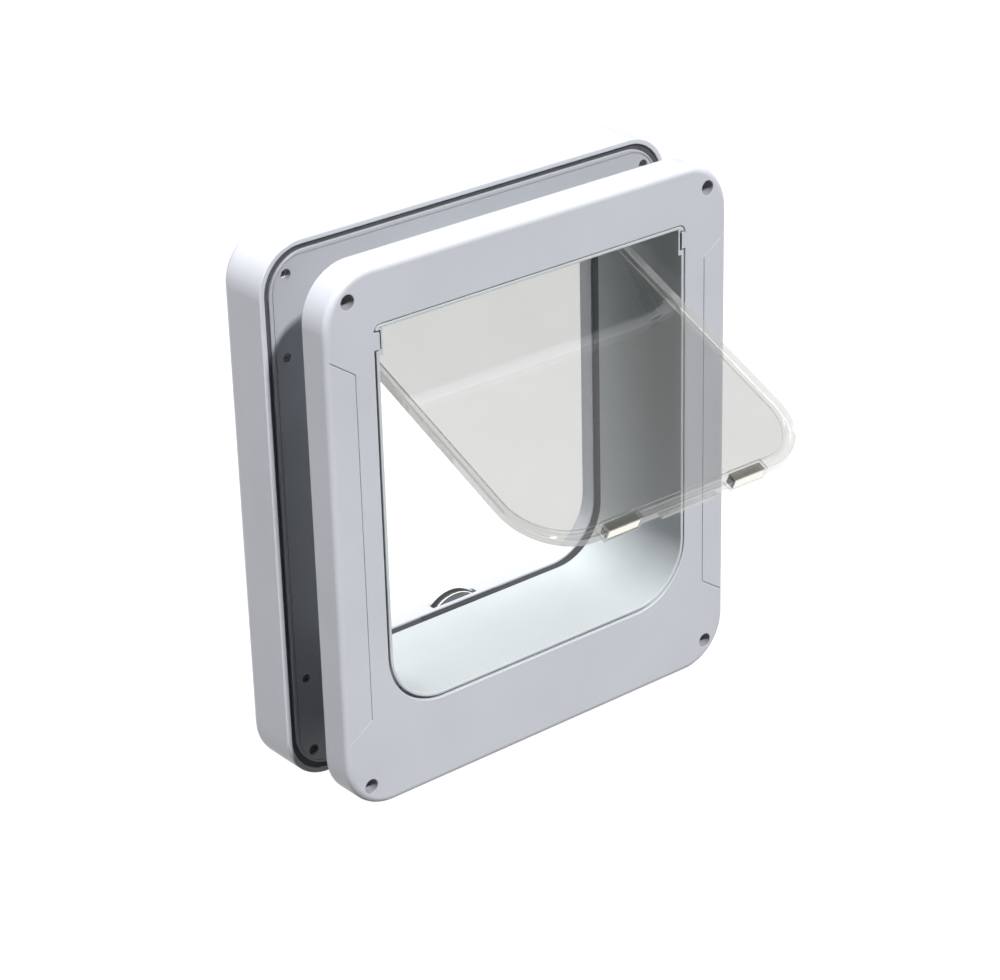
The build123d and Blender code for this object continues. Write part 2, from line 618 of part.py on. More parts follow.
def solenoid_y():
    """Middle depth of the solenoids, just behind the backing plate."""
    return PLATE_BACK_Y + FLANGE_T + SOLENOID_SETBACK + SOLENOID_SIDE / 2


def make_latch_blade(side):
    half_width = BLADE_WIDTH / 2
    depth = (blade_y(side) - BLADE_T / 2, blade_y(side) + BLADE_T / 2)
    top = SILL_Z - BLADE_SINK
    low = bar_top_z() - BLADE_BAR_HEIGHT
    blade = block((-half_width, half_width), depth, (low, top))
    foot = (foot_x(side) - FOOT_WIDTH / 2, foot_x(side) + FOOT_WIDTH / 2)
    blade += block((0, side * (half_width + BLADE_BAR_REACH)), depth, (low, bar_top_z()))
    blade += block(foot, (solenoid_y() - PLUNGER_R, BAND_BACK_Y), (low, low + FOOT_T))
    return blade


def make_latch_guide():
    half_slot = BLADE_WIDTH / 2 + BLADE_FIT
    half_guide = half_slot + GUIDE_WALL
    half_flange = BLADE_WIDTH / 2 + BLADE_BAR_REACH
    front = BAND_FRONT_Y + SEAL_FIT
    back = BAND_BACK_Y - SEAL_FIT
    top = SILL_Z - BLADE_SINK
    guide = block((-half_guide, half_guide), (front, back), (CHANNEL_FLOOR_Z - GUIDE_FIT, top))
    flange_top = CHANNEL_FLOOR_Z - GUIDE_FIT
    guide += block((-half_flange, half_flange), (front, back), (flange_top - GUIDE_FLANGE_T, flange_top))
    for side in (-1, 1):
        slot_half = BLADE_T / 2 + BLADE_FIT
        depth = (blade_y(side) - slot_half, blade_y(side) + slot_half)
        guide -= block((-half_slot, half_slot), depth, (flange_top - GUIDE_FLANGE_T, top))
    return guide


def make_plunger(side):
    foot_low = bar_top_z() - BLADE_BAR_HEIGHT
    return upright(foot_x(side), solenoid_y(), PLUNGER_R, foot_low - PLUNGER_OUT - PLUNGER_IN, foot_low)


def make_solenoid(side):
    top = bar_top_z() - BLADE_BAR_HEIGHT - PLUNGER_OUT
    x = foot_x(side)
    half = SOLENOID_SIDE / 2
    depth = (solenoid_y() - half, solenoid_y() + half)
    body = block((x - half, x + half), depth, (top - SOLENOID_HEIGHT, top))
    return body - upright(x, solenoid_y(), PLUNGER_R + PLUNGER_FIT, top - PLUNGER_IN - PLUNGER_END_GAP, top)


def spring_limits():
    """Lower and upper end of a return spring: a blade's foot and the guide's flange."""
    low = bar_top_z() - BLADE_BAR_HEIGHT + FOOT_T + SPRING_FIT
    high = CHANNEL_FLOOR_Z - GUIDE_FIT - GUIDE_FLANGE_T - SPRING_FIT
    return low, high


def make_return_spring(side):
    low, high = spring_limits()
    height = high - low - 2 * SPRING_WIRE_R
    away = -side * (BLADE_T / 2 + SPRING_WIRE_R + SPRING_R + SPRING_FIT)
    path = Pos(foot_x(side), blade_y(side) + away, low + SPRING_WIRE_R) * Helix(
        height / SPRING_TURNS, height, SPRING_R)
    return sweep(Plane(origin=path @ 0, z_dir=path % 0) * Circle(SPRING_WIRE_R), path=path)


# Lock dial
def make_lock_dial():
    back = dial_back_y()
    front = back - DIAL_T
    knob_face = BACK_Y - KNOB_SETBACK
    dial = rod(0, dial_z(), DIAL_R, front, back)
    dial = chamfer(dial.edges().group_by(Axis.Y)[0], DIAL_CHAMFER)
    dial += rod(0, dial_z(), KNOB_R, back, knob_face)
    ring = Circle(KNOB_R - KNOB_RIM) - Rectangle(GRIP_WIDTH, 2 * KNOB_R)
    dial -= slab(Pos(0, dial_z()) * ring, knob_face - GRIP_HEIGHT, knob_face)
    dial -= rod(0, dial_z(), POST_R + POST_FIT, front, back - POST_FLOOR)
    dial -= rod(0, dial_z() + MODE_MAGNET_OFFSET, MODE_MAGNET_R + SCREW_FIT, front, front + MODE_MAGNET_T)
    return dial


def make_mode_magnet():
    front = dial_back_y() - DIAL_T
    return rod(0, dial_z() + MODE_MAGNET_OFFSET, MODE_MAGNET_R, front, front + MODE_MAGNET_T)


def make_dial_retainer():
    back = dial_back_y() - DIAL_T - RETAINER_GAP
    front = back - RETAINER_T
    outline = RectangleRounded(2 * retainer_reach(), RETAINER_HEIGHT, SMALL_BOSS_R)
    retainer = slab(Pos(0, dial_z() - RETAINER_DROP) * outline, front, back)
    retainer += rod(0, dial_z(), POST_R, back, dial_back_y() - POST_FLOOR - POST_FIT)
    for x, z in retainer_posts():
        retainer -= rod(x, z, SMALL_SCREW_R + SCREW_FIT, front, back)
    return retainer


def small_screws(places, seat_y):
    """Small pan-head screws driven towards the indoor face, with the head on a seat."""
    screws = Part()
    for x, z in places:
        screws += rod(x, z, SMALL_HEAD_R, seat_y - SMALL_HEAD_T, seat_y)
        screws += rod(x, z, SMALL_SCREW_R, seat_y, seat_y + SMALL_SCREW_LENGTH)
    return screws


# Electronics
def make_control_board():
    front = CAVITY_BACK_Y - BOARD_BACKSET
    back = front + BOARD_T
    middle = board_z()
    half_width = BOARD_WIDTH / 2
    board = slab(Pos(0, middle) * Rectangle(BOARD_WIDTH, BOARD_HEIGHT), front, back)
    for x, z in board_posts():
        board -= rod(x, z, SMALL_SCREW_R + SCREW_FIT, front, back)
    for x, width, height in CHIPS:
        board += slab(Pos(x, middle) * Rectangle(width, height), back, back + CHIP_T)
    switch = Pos(BUTTON_X, middle) * Rectangle(SWITCH_SIDE, SWITCH_SIDE)
    board += slab(switch, back, back + SWITCH_HEIGHT)
    lamp = Pos(PIPE_X, middle) * Rectangle(PIPE_R * 2, PIPE_R * 2)
    board += slab(lamp, back, back + CHIP_T)
    connector = Pos(half_width - SWITCH_SIDE * 2, middle) * Rectangle(SWITCH_SIDE, SWITCH_SIDE)
    board += slab(connector, front - SWITCH_HEIGHT, front)
    return board


def make_pair_button():
    face = BACK_Y - KNOB_SETBACK
    flange_back = CAVITY_BACK_Y - BUTTON_FIT
    stem_front = CAVITY_BACK_Y - BOARD_BACKSET + BOARD_T + SWITCH_HEIGHT + BUTTON_TRAVEL + BUTTON_FIT
    button = rod(BUTTON_X, board_z(), BUTTON_R, flange_back, face)
    button = fillet(button.edges().group_by(Axis.Y)[-1], BUTTON_EDGE_R)
    button += rod(BUTTON_X, board_z(), BUTTON_R + BUTTON_FLANGE, flange_back - BUTTON_FLANGE, flange_back)
    return button + rod(BUTTON_X, board_z(), BUTTON_STEM_R, stem_front, flange_back)


def make_light_pipe():
    front = CAVITY_BACK_Y - BOARD_BACKSET + BOARD_T + CHIP_T + PIPE_FIT
    pipe = rod(PIPE_X, board_z(), PIPE_R, front, BACK_Y - KNOB_SETBACK)
    return pipe + rod(PIPE_X, board_z(), PIPE_R + PIPE_FLANGE, CAVITY_BACK_Y - PIPE_FLANGE_T, CAVITY_BACK_Y)


def make_antenna_coil():
    front = PLATE_BACK_Y + FLANGE_T + COIL_SETBACK
    coil = slab(tunnel_outline(SLEEVE_WALL + COIL_FIT + COIL_T), front, front + COIL_WIDTH)
    return coil - slab(tunnel_outline(SLEEVE_WALL + COIL_FIT), front, front + COIL_WIDTH)


# Batteries
def cell_y():
    """Depth of the cells' axes, just under the cover."""
    return CAVITY_BACK_Y - CELL_FIT - CELL_R


def cell_places(side):
    """Heights of a pair of cells, with the way that each one's nub points."""
    low = battery_limits(side)[1][0] + CELL_FIT + CELL_R
    return [(low, 1), (low + 2 * CELL_R + CELL_GAP, -1)]


def make_battery_box(side):
    (start, end), (low, high) = battery_limits(side)
    front = cell_y() - CELL_R - CELL_FIT
    back = CAVITY_BACK_Y - COLLAR_FIT
    box = block((start - side * BOX_WALL, end + side * BOX_WALL), (front - BOX_WALL, back),
                (low - BOX_WALL, high + BOX_WALL))
    return box - block((start, end), (front, back), (low, high))


def make_battery_cells():
    cells = Part()
    for side in (-1, 1):
        (start, end), _ = battery_limits(side)
        middle = (start + end) / 2
        for z, way in cell_places(side):
            can_end = middle + way * (CELL_LENGTH - CELL_NUB) / 2
            cells += cross_rod(cell_y(), z, CELL_R, can_end - way * CELL_LENGTH, can_end)
            cells += cross_rod(cell_y(), z, CELL_NUB_R, can_end, can_end + way * CELL_NUB)
    return cells


def make_battery_contacts():
    contacts = Part()
    for side in (-1, 1):
        (start, end), (low, high) = battery_limits(side)
        depth = (cell_y() - CELL_NUB_R, cell_y() + CELL_NUB_R)
        for x, inwards in ((start, side), (end, -side)):
            contacts += block((x, x + inwards * CONTACT_T), depth, (low + CELL_FIT, high - CELL_FIT))
    return contacts


def make_battery_cover(side):
    x, z = cover_limits(side, 0)
    cover = block(x, (BACK_Y - COVER_T, BACK_Y), z)
    cover = fillet(cover.edges().filter_by(Axis.Y), COVER_CORNER_R)
    notch_x = (x[0] + x[1]) / 2
    half_notch = COVER_NOTCH_WIDTH / 2
    notch = block((notch_x - half_notch, notch_x + half_notch), (BACK_Y - COVER_NOTCH_DEPTH, BACK_Y),
                  (z[1] - COVER_LIP, z[1]))
    return cover - notch


pieces = {
    "front_frame": make_front_frame(),
    "tunnel_sleeve": make_tunnel_sleeve(),
    "draught_seal": make_draught_seal(),
    "backing_plate": make_backing_plate(),
    "plate_screws": make_plate_screws(),
    "perimeter_seal": make_perimeter_seal(),
    "rear_shell": make_rear_shell(),
    "flap_panel": swung(make_flap_panel()),
    "latch_guide": make_latch_guide(),
    "lock_dial": make_lock_dial(),
    "mode_magnet": make_mode_magnet(),
    "dial_retainer": make_dial_retainer(),
    "retainer_screws": small_screws(
        retainer_posts(), dial_back_y() - DIAL_T - RETAINER_GAP - RETAINER_T),
    "control_board": make_control_board(),
    "board_screws": small_screws(board_posts(), CAVITY_BACK_Y - BOARD_BACKSET),
    "pair_button": make_pair_button(),
    "light_pipe": make_light_pipe(),
    "antenna_coil": make_antenna_coil(),
    "battery_cells": make_battery_cells(),
    "battery_contacts": make_battery_contacts(),
}
for name, side in (("left", -1), ("right", 1)):
    pieces["magnet_bar_" + name] = swung(make_magnet_bar(side))
    pieces["hinge_pin_" + name] = swung(make_hinge_pin(side))
    pieces["hinge_bush_" + name] = make_hinge_bush(side)
    pieces["battery_box_" + name] = make_battery_box(side)
    pieces["battery_cover_" + name] = make_battery_cover(side)
for name, side in (("out", -1), ("in", 1)):
    pieces["latch_blade_" + name] = make_latch_blade(side)
    pieces["plunger_" + name] = make_plunger(side)
    pieces["solenoid_" + name] = make_solenoid(side)
    pieces["return_spring_" + name] = make_return_spring(side)

os.makedirs("parts", exist_ok=True)
for name, piece in pieces.items():
    export_step(piece, "parts/" + name + ".step")
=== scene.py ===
"""Looks of a pet door: white moulded frames, a clear swinging flap, dark seals and a lock dial.

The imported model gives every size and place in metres: X right, Y into the house, Z up.
"""

import logging
import math
from dataclasses import dataclass
from enum import Enum
from typing import Any, Callable, Dict, Optional, Sequence, Tuple, Union

import bmesh
import bpy
from mathutils import Matrix, Vector


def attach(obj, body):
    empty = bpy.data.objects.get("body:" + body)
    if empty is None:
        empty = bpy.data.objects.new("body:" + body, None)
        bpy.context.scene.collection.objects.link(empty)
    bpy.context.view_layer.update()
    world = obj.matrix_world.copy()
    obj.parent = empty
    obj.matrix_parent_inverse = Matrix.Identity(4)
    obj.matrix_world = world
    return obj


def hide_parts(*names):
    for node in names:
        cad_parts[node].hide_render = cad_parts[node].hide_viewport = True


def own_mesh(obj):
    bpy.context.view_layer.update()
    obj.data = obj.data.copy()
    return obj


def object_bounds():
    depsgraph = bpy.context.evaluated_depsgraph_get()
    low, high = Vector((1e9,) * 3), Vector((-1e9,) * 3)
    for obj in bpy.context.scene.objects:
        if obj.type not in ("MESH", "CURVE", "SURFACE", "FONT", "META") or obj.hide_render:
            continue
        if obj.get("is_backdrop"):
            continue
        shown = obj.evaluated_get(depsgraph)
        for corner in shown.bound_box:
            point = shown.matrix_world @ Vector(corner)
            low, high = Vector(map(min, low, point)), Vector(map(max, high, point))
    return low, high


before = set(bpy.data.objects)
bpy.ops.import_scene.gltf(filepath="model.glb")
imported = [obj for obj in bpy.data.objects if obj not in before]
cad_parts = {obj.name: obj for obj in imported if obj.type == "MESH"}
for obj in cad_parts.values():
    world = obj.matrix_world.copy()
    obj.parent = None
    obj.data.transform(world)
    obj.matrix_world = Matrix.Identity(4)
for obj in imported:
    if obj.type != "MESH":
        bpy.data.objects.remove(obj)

LOG = logging.getLogger("pet_door")
MM = 0.001
# How near points are joined, and which joined faces count as one or as smooth
WELD_MM = 0.001
FLAT_DEGREES = 0.5
SMOOTH_DEGREES = 30.0
# How much of a face's normal points the way that it is picked for, and how level it lies
FACING = 0.9
SQUARE = 0.9999
LEVEL_MM = 0.01
# The range that most of an uneven pattern lies in
USUAL_LOW = 0.3
USUAL_HIGH = 0.7
Point = Tuple[float, float, float]
Links = Dict[Union[str, int], bpy.types.NodeSocket]


# Node helpers
def linear(hex_colour: str) -> Tuple[float, float, float, float]:
    """Turn an sRGB hex colour into a linear one.

    Args:
        hex_colour: Six hex digits after a hash sign.

    Returns:
        Red, green, blue and an alpha of one.
    """
    shares = [int(hex_colour[i:i + 2], 16) / 255 for i in (1, 3, 5)]
    red, green, blue = [s / 12.92 if s <= 0.04045 else ((s + 0.055) / 1.055) ** 2.4 for s in shares]
    return red, green, blue, 1.0


def per_metre(size_mm: float) -> float:
    """Give the texture scale whose features are about that many millimetres wide."""
    return 1.0 / (size_mm * MM)


def add_node(tree: bpy.types.NodeTree, kind: str, values: Optional[Dict[Union[str, int], Any]] = None,
             links: Optional[Links] = None, **settings: Any) -> bpy.types.Node:
    """Add a node with its settings, socket values and links.

    Args:
        tree: The node tree that takes the node.
        kind: The node's type name.
        values: Fixed values by input name or number.
        links: Sockets of other nodes by input name or number.
        settings: The node's own properties.

    Returns:
        The new node.
    """
    node = tree.nodes.new(kind)
    for name, value in settings.items():
        setattr(node, name, value)
    for name, value in (values or {}).items():
        node.inputs[name].default_value = value
    for name, socket in (links or {}).items():
        tree.links.new(socket, node.inputs[name])
    return node


def new_material(name: str) -> Tuple[bpy.types.Material, bpy.types.NodeTree, bpy.types.Node]:
    """Start a material with an empty shader.

    Args:
        name: The material's name.

    Returns:
        The material, its tree and its Principled shader.
    """
    material = bpy.data.materials.new(name)
    material.use_nodes = True
    tree = material.node_tree
    tree.nodes.clear()
    shader = add_node(tree, "ShaderNodeBsdfPrincipled")
    add_node(tree, "ShaderNodeOutputMaterial", links={"Surface": shader.outputs["BSDF"]})
    return material, tree, shader


def uneven(tree: bpy.types.NodeTree, size_mm: float, detail: float = 2.0,
           stretch: Point = (1.0, 1.0, 1.0)) -> bpy.types.NodeSocket:
    """Lay an uneven pattern on the piece's own coordinates.

    Args:
        tree: The node tree.
        size_mm: Width of the pattern's features.
        detail: How many finer layers it has.
        stretch: Scale of the coordinates; a small one draws the pattern out along that direction.

    Returns:
        The pattern's value, about 0 to 1.
    """
    place = add_node(tree, "ShaderNodeTexCoord")
    drawn = add_node(tree, "ShaderNodeMapping", {"Scale": stretch}, {"Vector": place.outputs["Object"]})
    noise = add_node(tree, "ShaderNodeTexNoise", {"Scale": per_metre(size_mm), "Detail": detail},
                     {"Vector": drawn.outputs["Vector"]})
    return noise.outputs["Fac"]


def tint(tree: bpy.types.NodeTree, pattern: bpy.types.NodeSocket, low: str,
         high: str) -> bpy.types.NodeSocket:
    """Mix two near colours by a pattern.

    Args:
        tree: The node tree.
        pattern: The pattern's value.
        low: Hex colour where the pattern is low.
        high: Hex colour where the pattern is high.

    Returns:
        The mixed colour.
    """
    share = add_node(tree, "ShaderNodeMapRange", {"From Min": USUAL_LOW, "From Max": USUAL_HIGH},
                     {"Value": pattern})
    mixed = add_node(tree, "ShaderNodeMix", {6: linear(low), 7: linear(high)},
                     {0: share.outputs["Result"]}, data_type="RGBA")
    return mixed.outputs[2]


def grain(tree: bpy.types.NodeTree, shader: bpy.types.Node, pattern: bpy.types.NodeSocket, smooth: float,
          rough: float, depth_mm: float) -> None:
    """Let a pattern vary a shader's roughness and stand out as a fine relief.

    Args:
        tree: The node tree.
        shader: The shader that takes the grain.
        pattern: The pattern's value.
        smooth: Roughness where the pattern is low.
        rough: Roughness where the pattern is high.
        depth_mm: The relief's depth from low to high.
    """
    varied = add_node(tree, "ShaderNodeMapRange",
                      {"From Min": USUAL_LOW, "From Max": USUAL_HIGH, "To Min": smooth, "To Max": rough},
                      {"Value": pattern})
    tree.links.new(varied.outputs["Result"], shader.inputs["Roughness"])
    raised = add_node(tree, "ShaderNodeBump", {"Strength": 1.0, "Distance": depth_mm * MM},
                      {"Height": pattern})
    tree.links.new(raised.outputs["Normal"], shader.inputs["Normal"])


def beyond(tree: bpy.types.NodeTree, place: bpy.types.NodeSocket, middle_mm: Point, start_mm: float,
           end_mm: float) -> bpy.types.NodeSocket:
    """Tell how far outwards of a point a place lies, alike on both sides of the piece.

    Args:
        tree: The node tree.
        place: The coordinates to measure in.
        middle_mm: The point, on the positive side; a very large value leaves that direction out.
        start_mm: Distance at which the result is 0.
        end_mm: Distance at which the result is 1.

    Returns:
        A share from 0 to 1.
    """
    folded = add_node(tree, "ShaderNodeVectorMath", links={0: place}, operation="ABSOLUTE")
    moved = add_node(tree, "ShaderNodeVectorMath", {1: Vector(middle_mm) * MM},
                     {0: folded.outputs["Vector"]}, operation="SUBTRACT")
    outwards = add_node(tree, "ShaderNodeVectorMath", {1: (0.0, 0.0, 0.0)}, {0: moved.outputs["Vector"]},
                        operation="MAXIMUM")
    reach = add_node(tree, "ShaderNodeVectorMath", links={0: outwards.outputs["Vector"]},
                     operation="LENGTH")
    share = add_node(tree, "ShaderNodeMapRange", {"From Min": start_mm * MM, "From Max": end_mm * MM},
                     {"Value": reach.outputs["Value"]})
    return share.outputs["Result"]


# Modelling helpers
def take(node: str, name: str) -> bpy.types.Object:
    """Copy a CAD node into a new piece with joined faces, and open it in edit mode.

    Args:
        node: The node's name.
        name: Name of the new piece.

    Returns:
        The piece.
    """
    bpy.ops.object.select_all(action="DESELECT")
    piece = bpy.data.objects.new(name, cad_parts[node].data.copy())
    piece.data.materials.clear()
    bpy.context.scene.collection.objects.link(piece)
    piece.select_set(True)
    bpy.context.view_layer.objects.active = piece
    bpy.ops.mesh.customdata_custom_splitnormals_clear()
    bpy.ops.object.mode_set(mode="EDIT")
    bpy.ops.mesh.select_all(action="SELECT")
    bpy.ops.mesh.remove_doubles(threshold=WELD_MM * MM)
    bpy.ops.mesh.dissolve_limited(angle_limit=math.radians(FLAT_DEGREES))
    return piece


def settle(name: str) -> bpy.types.Object:
    """Name the new primitive, put its place into its mesh and open it in edit mode.

    Args:
        name: Name of the new piece.

    Returns:
        The piece.
    """
    piece = bpy.context.object
    piece.name = name
    bpy.ops.object.transform_apply(location=True, rotation=True, scale=True)
    bpy.ops.object.mode_set(mode="EDIT")
    bpy.ops.mesh.select_mode(type="EDGE")
    bpy.ops.mesh.select_all(action="SELECT")
    return piece


def pick(piece: bpy.types.Object, test: Callable[[Vector, Vector], bool]) -> None:
    """Select the faces whose middle and normal pass a test, and no others.

    Args:
        piece: The piece in edit mode.
        test: Takes a face's middle, in millimetres, and its normal.
    """
    bpy.ops.mesh.select_mode(type="FACE")
    bpy.ops.mesh.select_all(action="DESELECT")
    mesh = bmesh.from_edit_mesh(piece.data)
    for face in mesh.faces:
        if test(face.calc_center_median() / MM, face.normal):
            face.select_set(True)
    bmesh.update_edit_mesh(piece.data)


def pick_back(piece: bpy.types.Object, back_y_mm: float) -> None:
    """Select the flat faces of a piece's back, without the rounded edge round them."""
    pick(piece, lambda middle, normal: normal.y > SQUARE and middle.y > back_y_mm - LEVEL_MM)


def wear(piece: bpy.types.Object, finishes: Sequence[bpy.types.Material]) -> None:
    """Give a piece its finishes: the first all over, the others for picked faces."""
    for finish in finishes:
        piece.data.materials.append(finish)


def paint(piece: bpy.types.Object, index: int) -> None:
    """Give the picked faces one of the piece's finishes."""
    piece.active_material_index = index
    bpy.ops.object.material_slot_assign()


def hand_over(piece: bpy.types.Object, body: str) -> None:
    """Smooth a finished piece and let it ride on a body.

    Args:
        piece: The piece, in edit mode.
        body: The CAD body that carries it.
    """
    bpy.ops.mesh.select_all(action="SELECT")
    bpy.ops.mesh.normals_make_consistent(inside=False)
    bpy.ops.object.mode_set(mode="OBJECT")
    bpy.ops.object.shade_smooth_by_angle(angle=math.radians(SMOOTH_DEGREES))
    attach(piece, body)
    LOG.info("%s modelled, rides on %s", piece.name, body)


# Finishes
@dataclass(frozen=True)
class MouldedPlastic:
    """Injection-moulded ABS from a spark-eroded tool: satin, with a very fine grain and even colour.

    The tool's own grain is too fine to show in the render, so it is drawn about ten times as coarse.
    """

    name: str
    low: str
    high: str
    roughness: float = 0.42
    gloss: float = 0.45
    grain_mm: float = 0.6
    depth_mm: float = 0.004
    ior: float = 1.53
    swing: float = 0.03
    cloud_mm: float = 45.0

    def material(self) -> bpy.types.Material:
        """Build the finish's material.

        Returns:
            The material.
        """
        material, tree, shader = new_material(self.name)
        shader.inputs["IOR"].default_value = self.ior
        shader.inputs["Specular IOR Level"].default_value = self.gloss
        tree.links.new(self.colour(tree), shader.inputs["Base Color"])
        grain(tree, shader, uneven(tree, self.grain_mm), self.roughness - self.swing,
              self.roughness + self.swing, self.depth_mm)
        return material

    def colour(self, tree: bpy.types.NodeTree) -> bpy.types.NodeSocket:
        """Give the plastic's colour, slightly uneven over a hand's breadth."""
        return tint(tree, uneven(tree, self.cloud_mm), self.low, self.high)


@dataclass(frozen=True)
class BoreShadedPlastic(MouldedPlastic):
    """The same plastic with four fixing holes, with painted shade down in their bores."""

    # Colour of the painted shade down in the bores
    painted_bore_shade: str = "#A4A6AC"
    hole_x_mm: float = 100.0
    hole_z_mm: float = 114.0
    hole_r_mm: float = 3.3
    edge_mm: float = 0.05
    fade_mm: float = 0.25

    def colour(self, tree: bpy.types.NodeTree) -> bpy.types.NodeSocket:
        """Give the plastic's colour, with painted shade down in the bores.

        Args:
            tree: The node tree.

        Returns:
            The colour.
        """
        full = self.hole_r_mm + self.edge_mm
        place = add_node(tree, "ShaderNodeTexCoord").outputs["Object"]
        folded = add_node(tree, "ShaderNodeVectorMath", links={0: place}, operation="ABSOLUTE")
        hole = Vector((self.hole_x_mm, 0.0, self.hole_z_mm)) * MM
        moved = add_node(tree, "ShaderNodeVectorMath", {1: hole}, {0: folded.outputs["Vector"]},
                         operation="SUBTRACT")
        across = add_node(tree, "ShaderNodeVectorMath", {1: (1.0, 0.0, 1.0)}, {0: moved.outputs["Vector"]},
                          operation="MULTIPLY")
        reach = add_node(tree, "ShaderNodeVectorMath", links={0: across.outputs["Vector"]},
                         operation="LENGTH")
        # Share of painted shade: full inside a bore, fading out round its mouth
        inside = add_node(tree, "ShaderNodeMapRange",
                          {"From Min": (full + self.fade_mm) * MM, "From Max": full * MM},
                          {"Value": reach.outputs["Value"]})
        # Mix in the painted shade down in the bores
        mixed = add_node(tree, "ShaderNodeMix", {7: linear(self.painted_bore_shade)},
                         {0: inside.outputs["Result"], 6: super().colour(tree)}, data_type="RGBA")
        return mixed.outputs[2]


@dataclass(frozen=True)
class MouldedRubber:
    """Moulded silicone or rubber strip: matt, a little uneven and slightly chalky on its high spots."""

    name: str
    low: str
    high: str
    roughness: float = 0.72
    ior: float = 1.43
    swing: float = 0.06
    patch_mm: float = 1.2
    detail: float = 4.0
    depth_mm: float = 0.02

    def material(self) -> bpy.types.Material:
        """Build the finish's material.

        Returns:
            The material.
        """
        material, tree, shader = new_material(self.name)
        shader.inputs["IOR"].default_value = self.ior
        patches = uneven(tree, self.patch_mm, self.detail)
        tree.links.new(tint(tree, patches, self.low, self.high), shader.inputs["Base Color"])
        grain(tree, shader, patches, self.roughness - self.swing, self.roughness + self.swing,
              self.depth_mm)
        return material


@dataclass(frozen=True)
class ClearAcrylic:
    """Polished clear acrylic sheet: each face greys what lies behind it, and a hard coat mirrors.

    The sheet is too thin to shift what lies behind it, so its own IOR is 1 and the coat has the gloss.
    """

    name: str
    low: str
    high: str
    wave_mm: float = 38.0
    coat_ior: float = 2.4
    coat_roughness: float = 0.02

    def material(self) -> bpy.types.Material:
        """Build the finish's material.

        Returns:
            The material.
        """
        material, tree, shader = new_material(self.name)
        shader.inputs["IOR"].default_value = 1.0
        shader.inputs["Roughness"].default_value = 0.0
        shader.inputs["Transmission Weight"].default_value = 1.0
        shader.inputs["Coat Weight"].default_value = 1.0
        shader.inputs["Coat IOR"].default_value = self.coat_ior
        shader.inputs["Coat Roughness"].default_value = self.coat_roughness
        tree.links.new(self.colour(tree), shader.inputs["Base Color"])
        return material

    def colour(self, tree: bpy.types.NodeTree) -> bpy.types.NodeSocket:
        """Give the sheet's tint, with very faint flow waves."""
        return tint(tree, uneven(tree, self.wave_mm, 0.0), self.low, self.high)


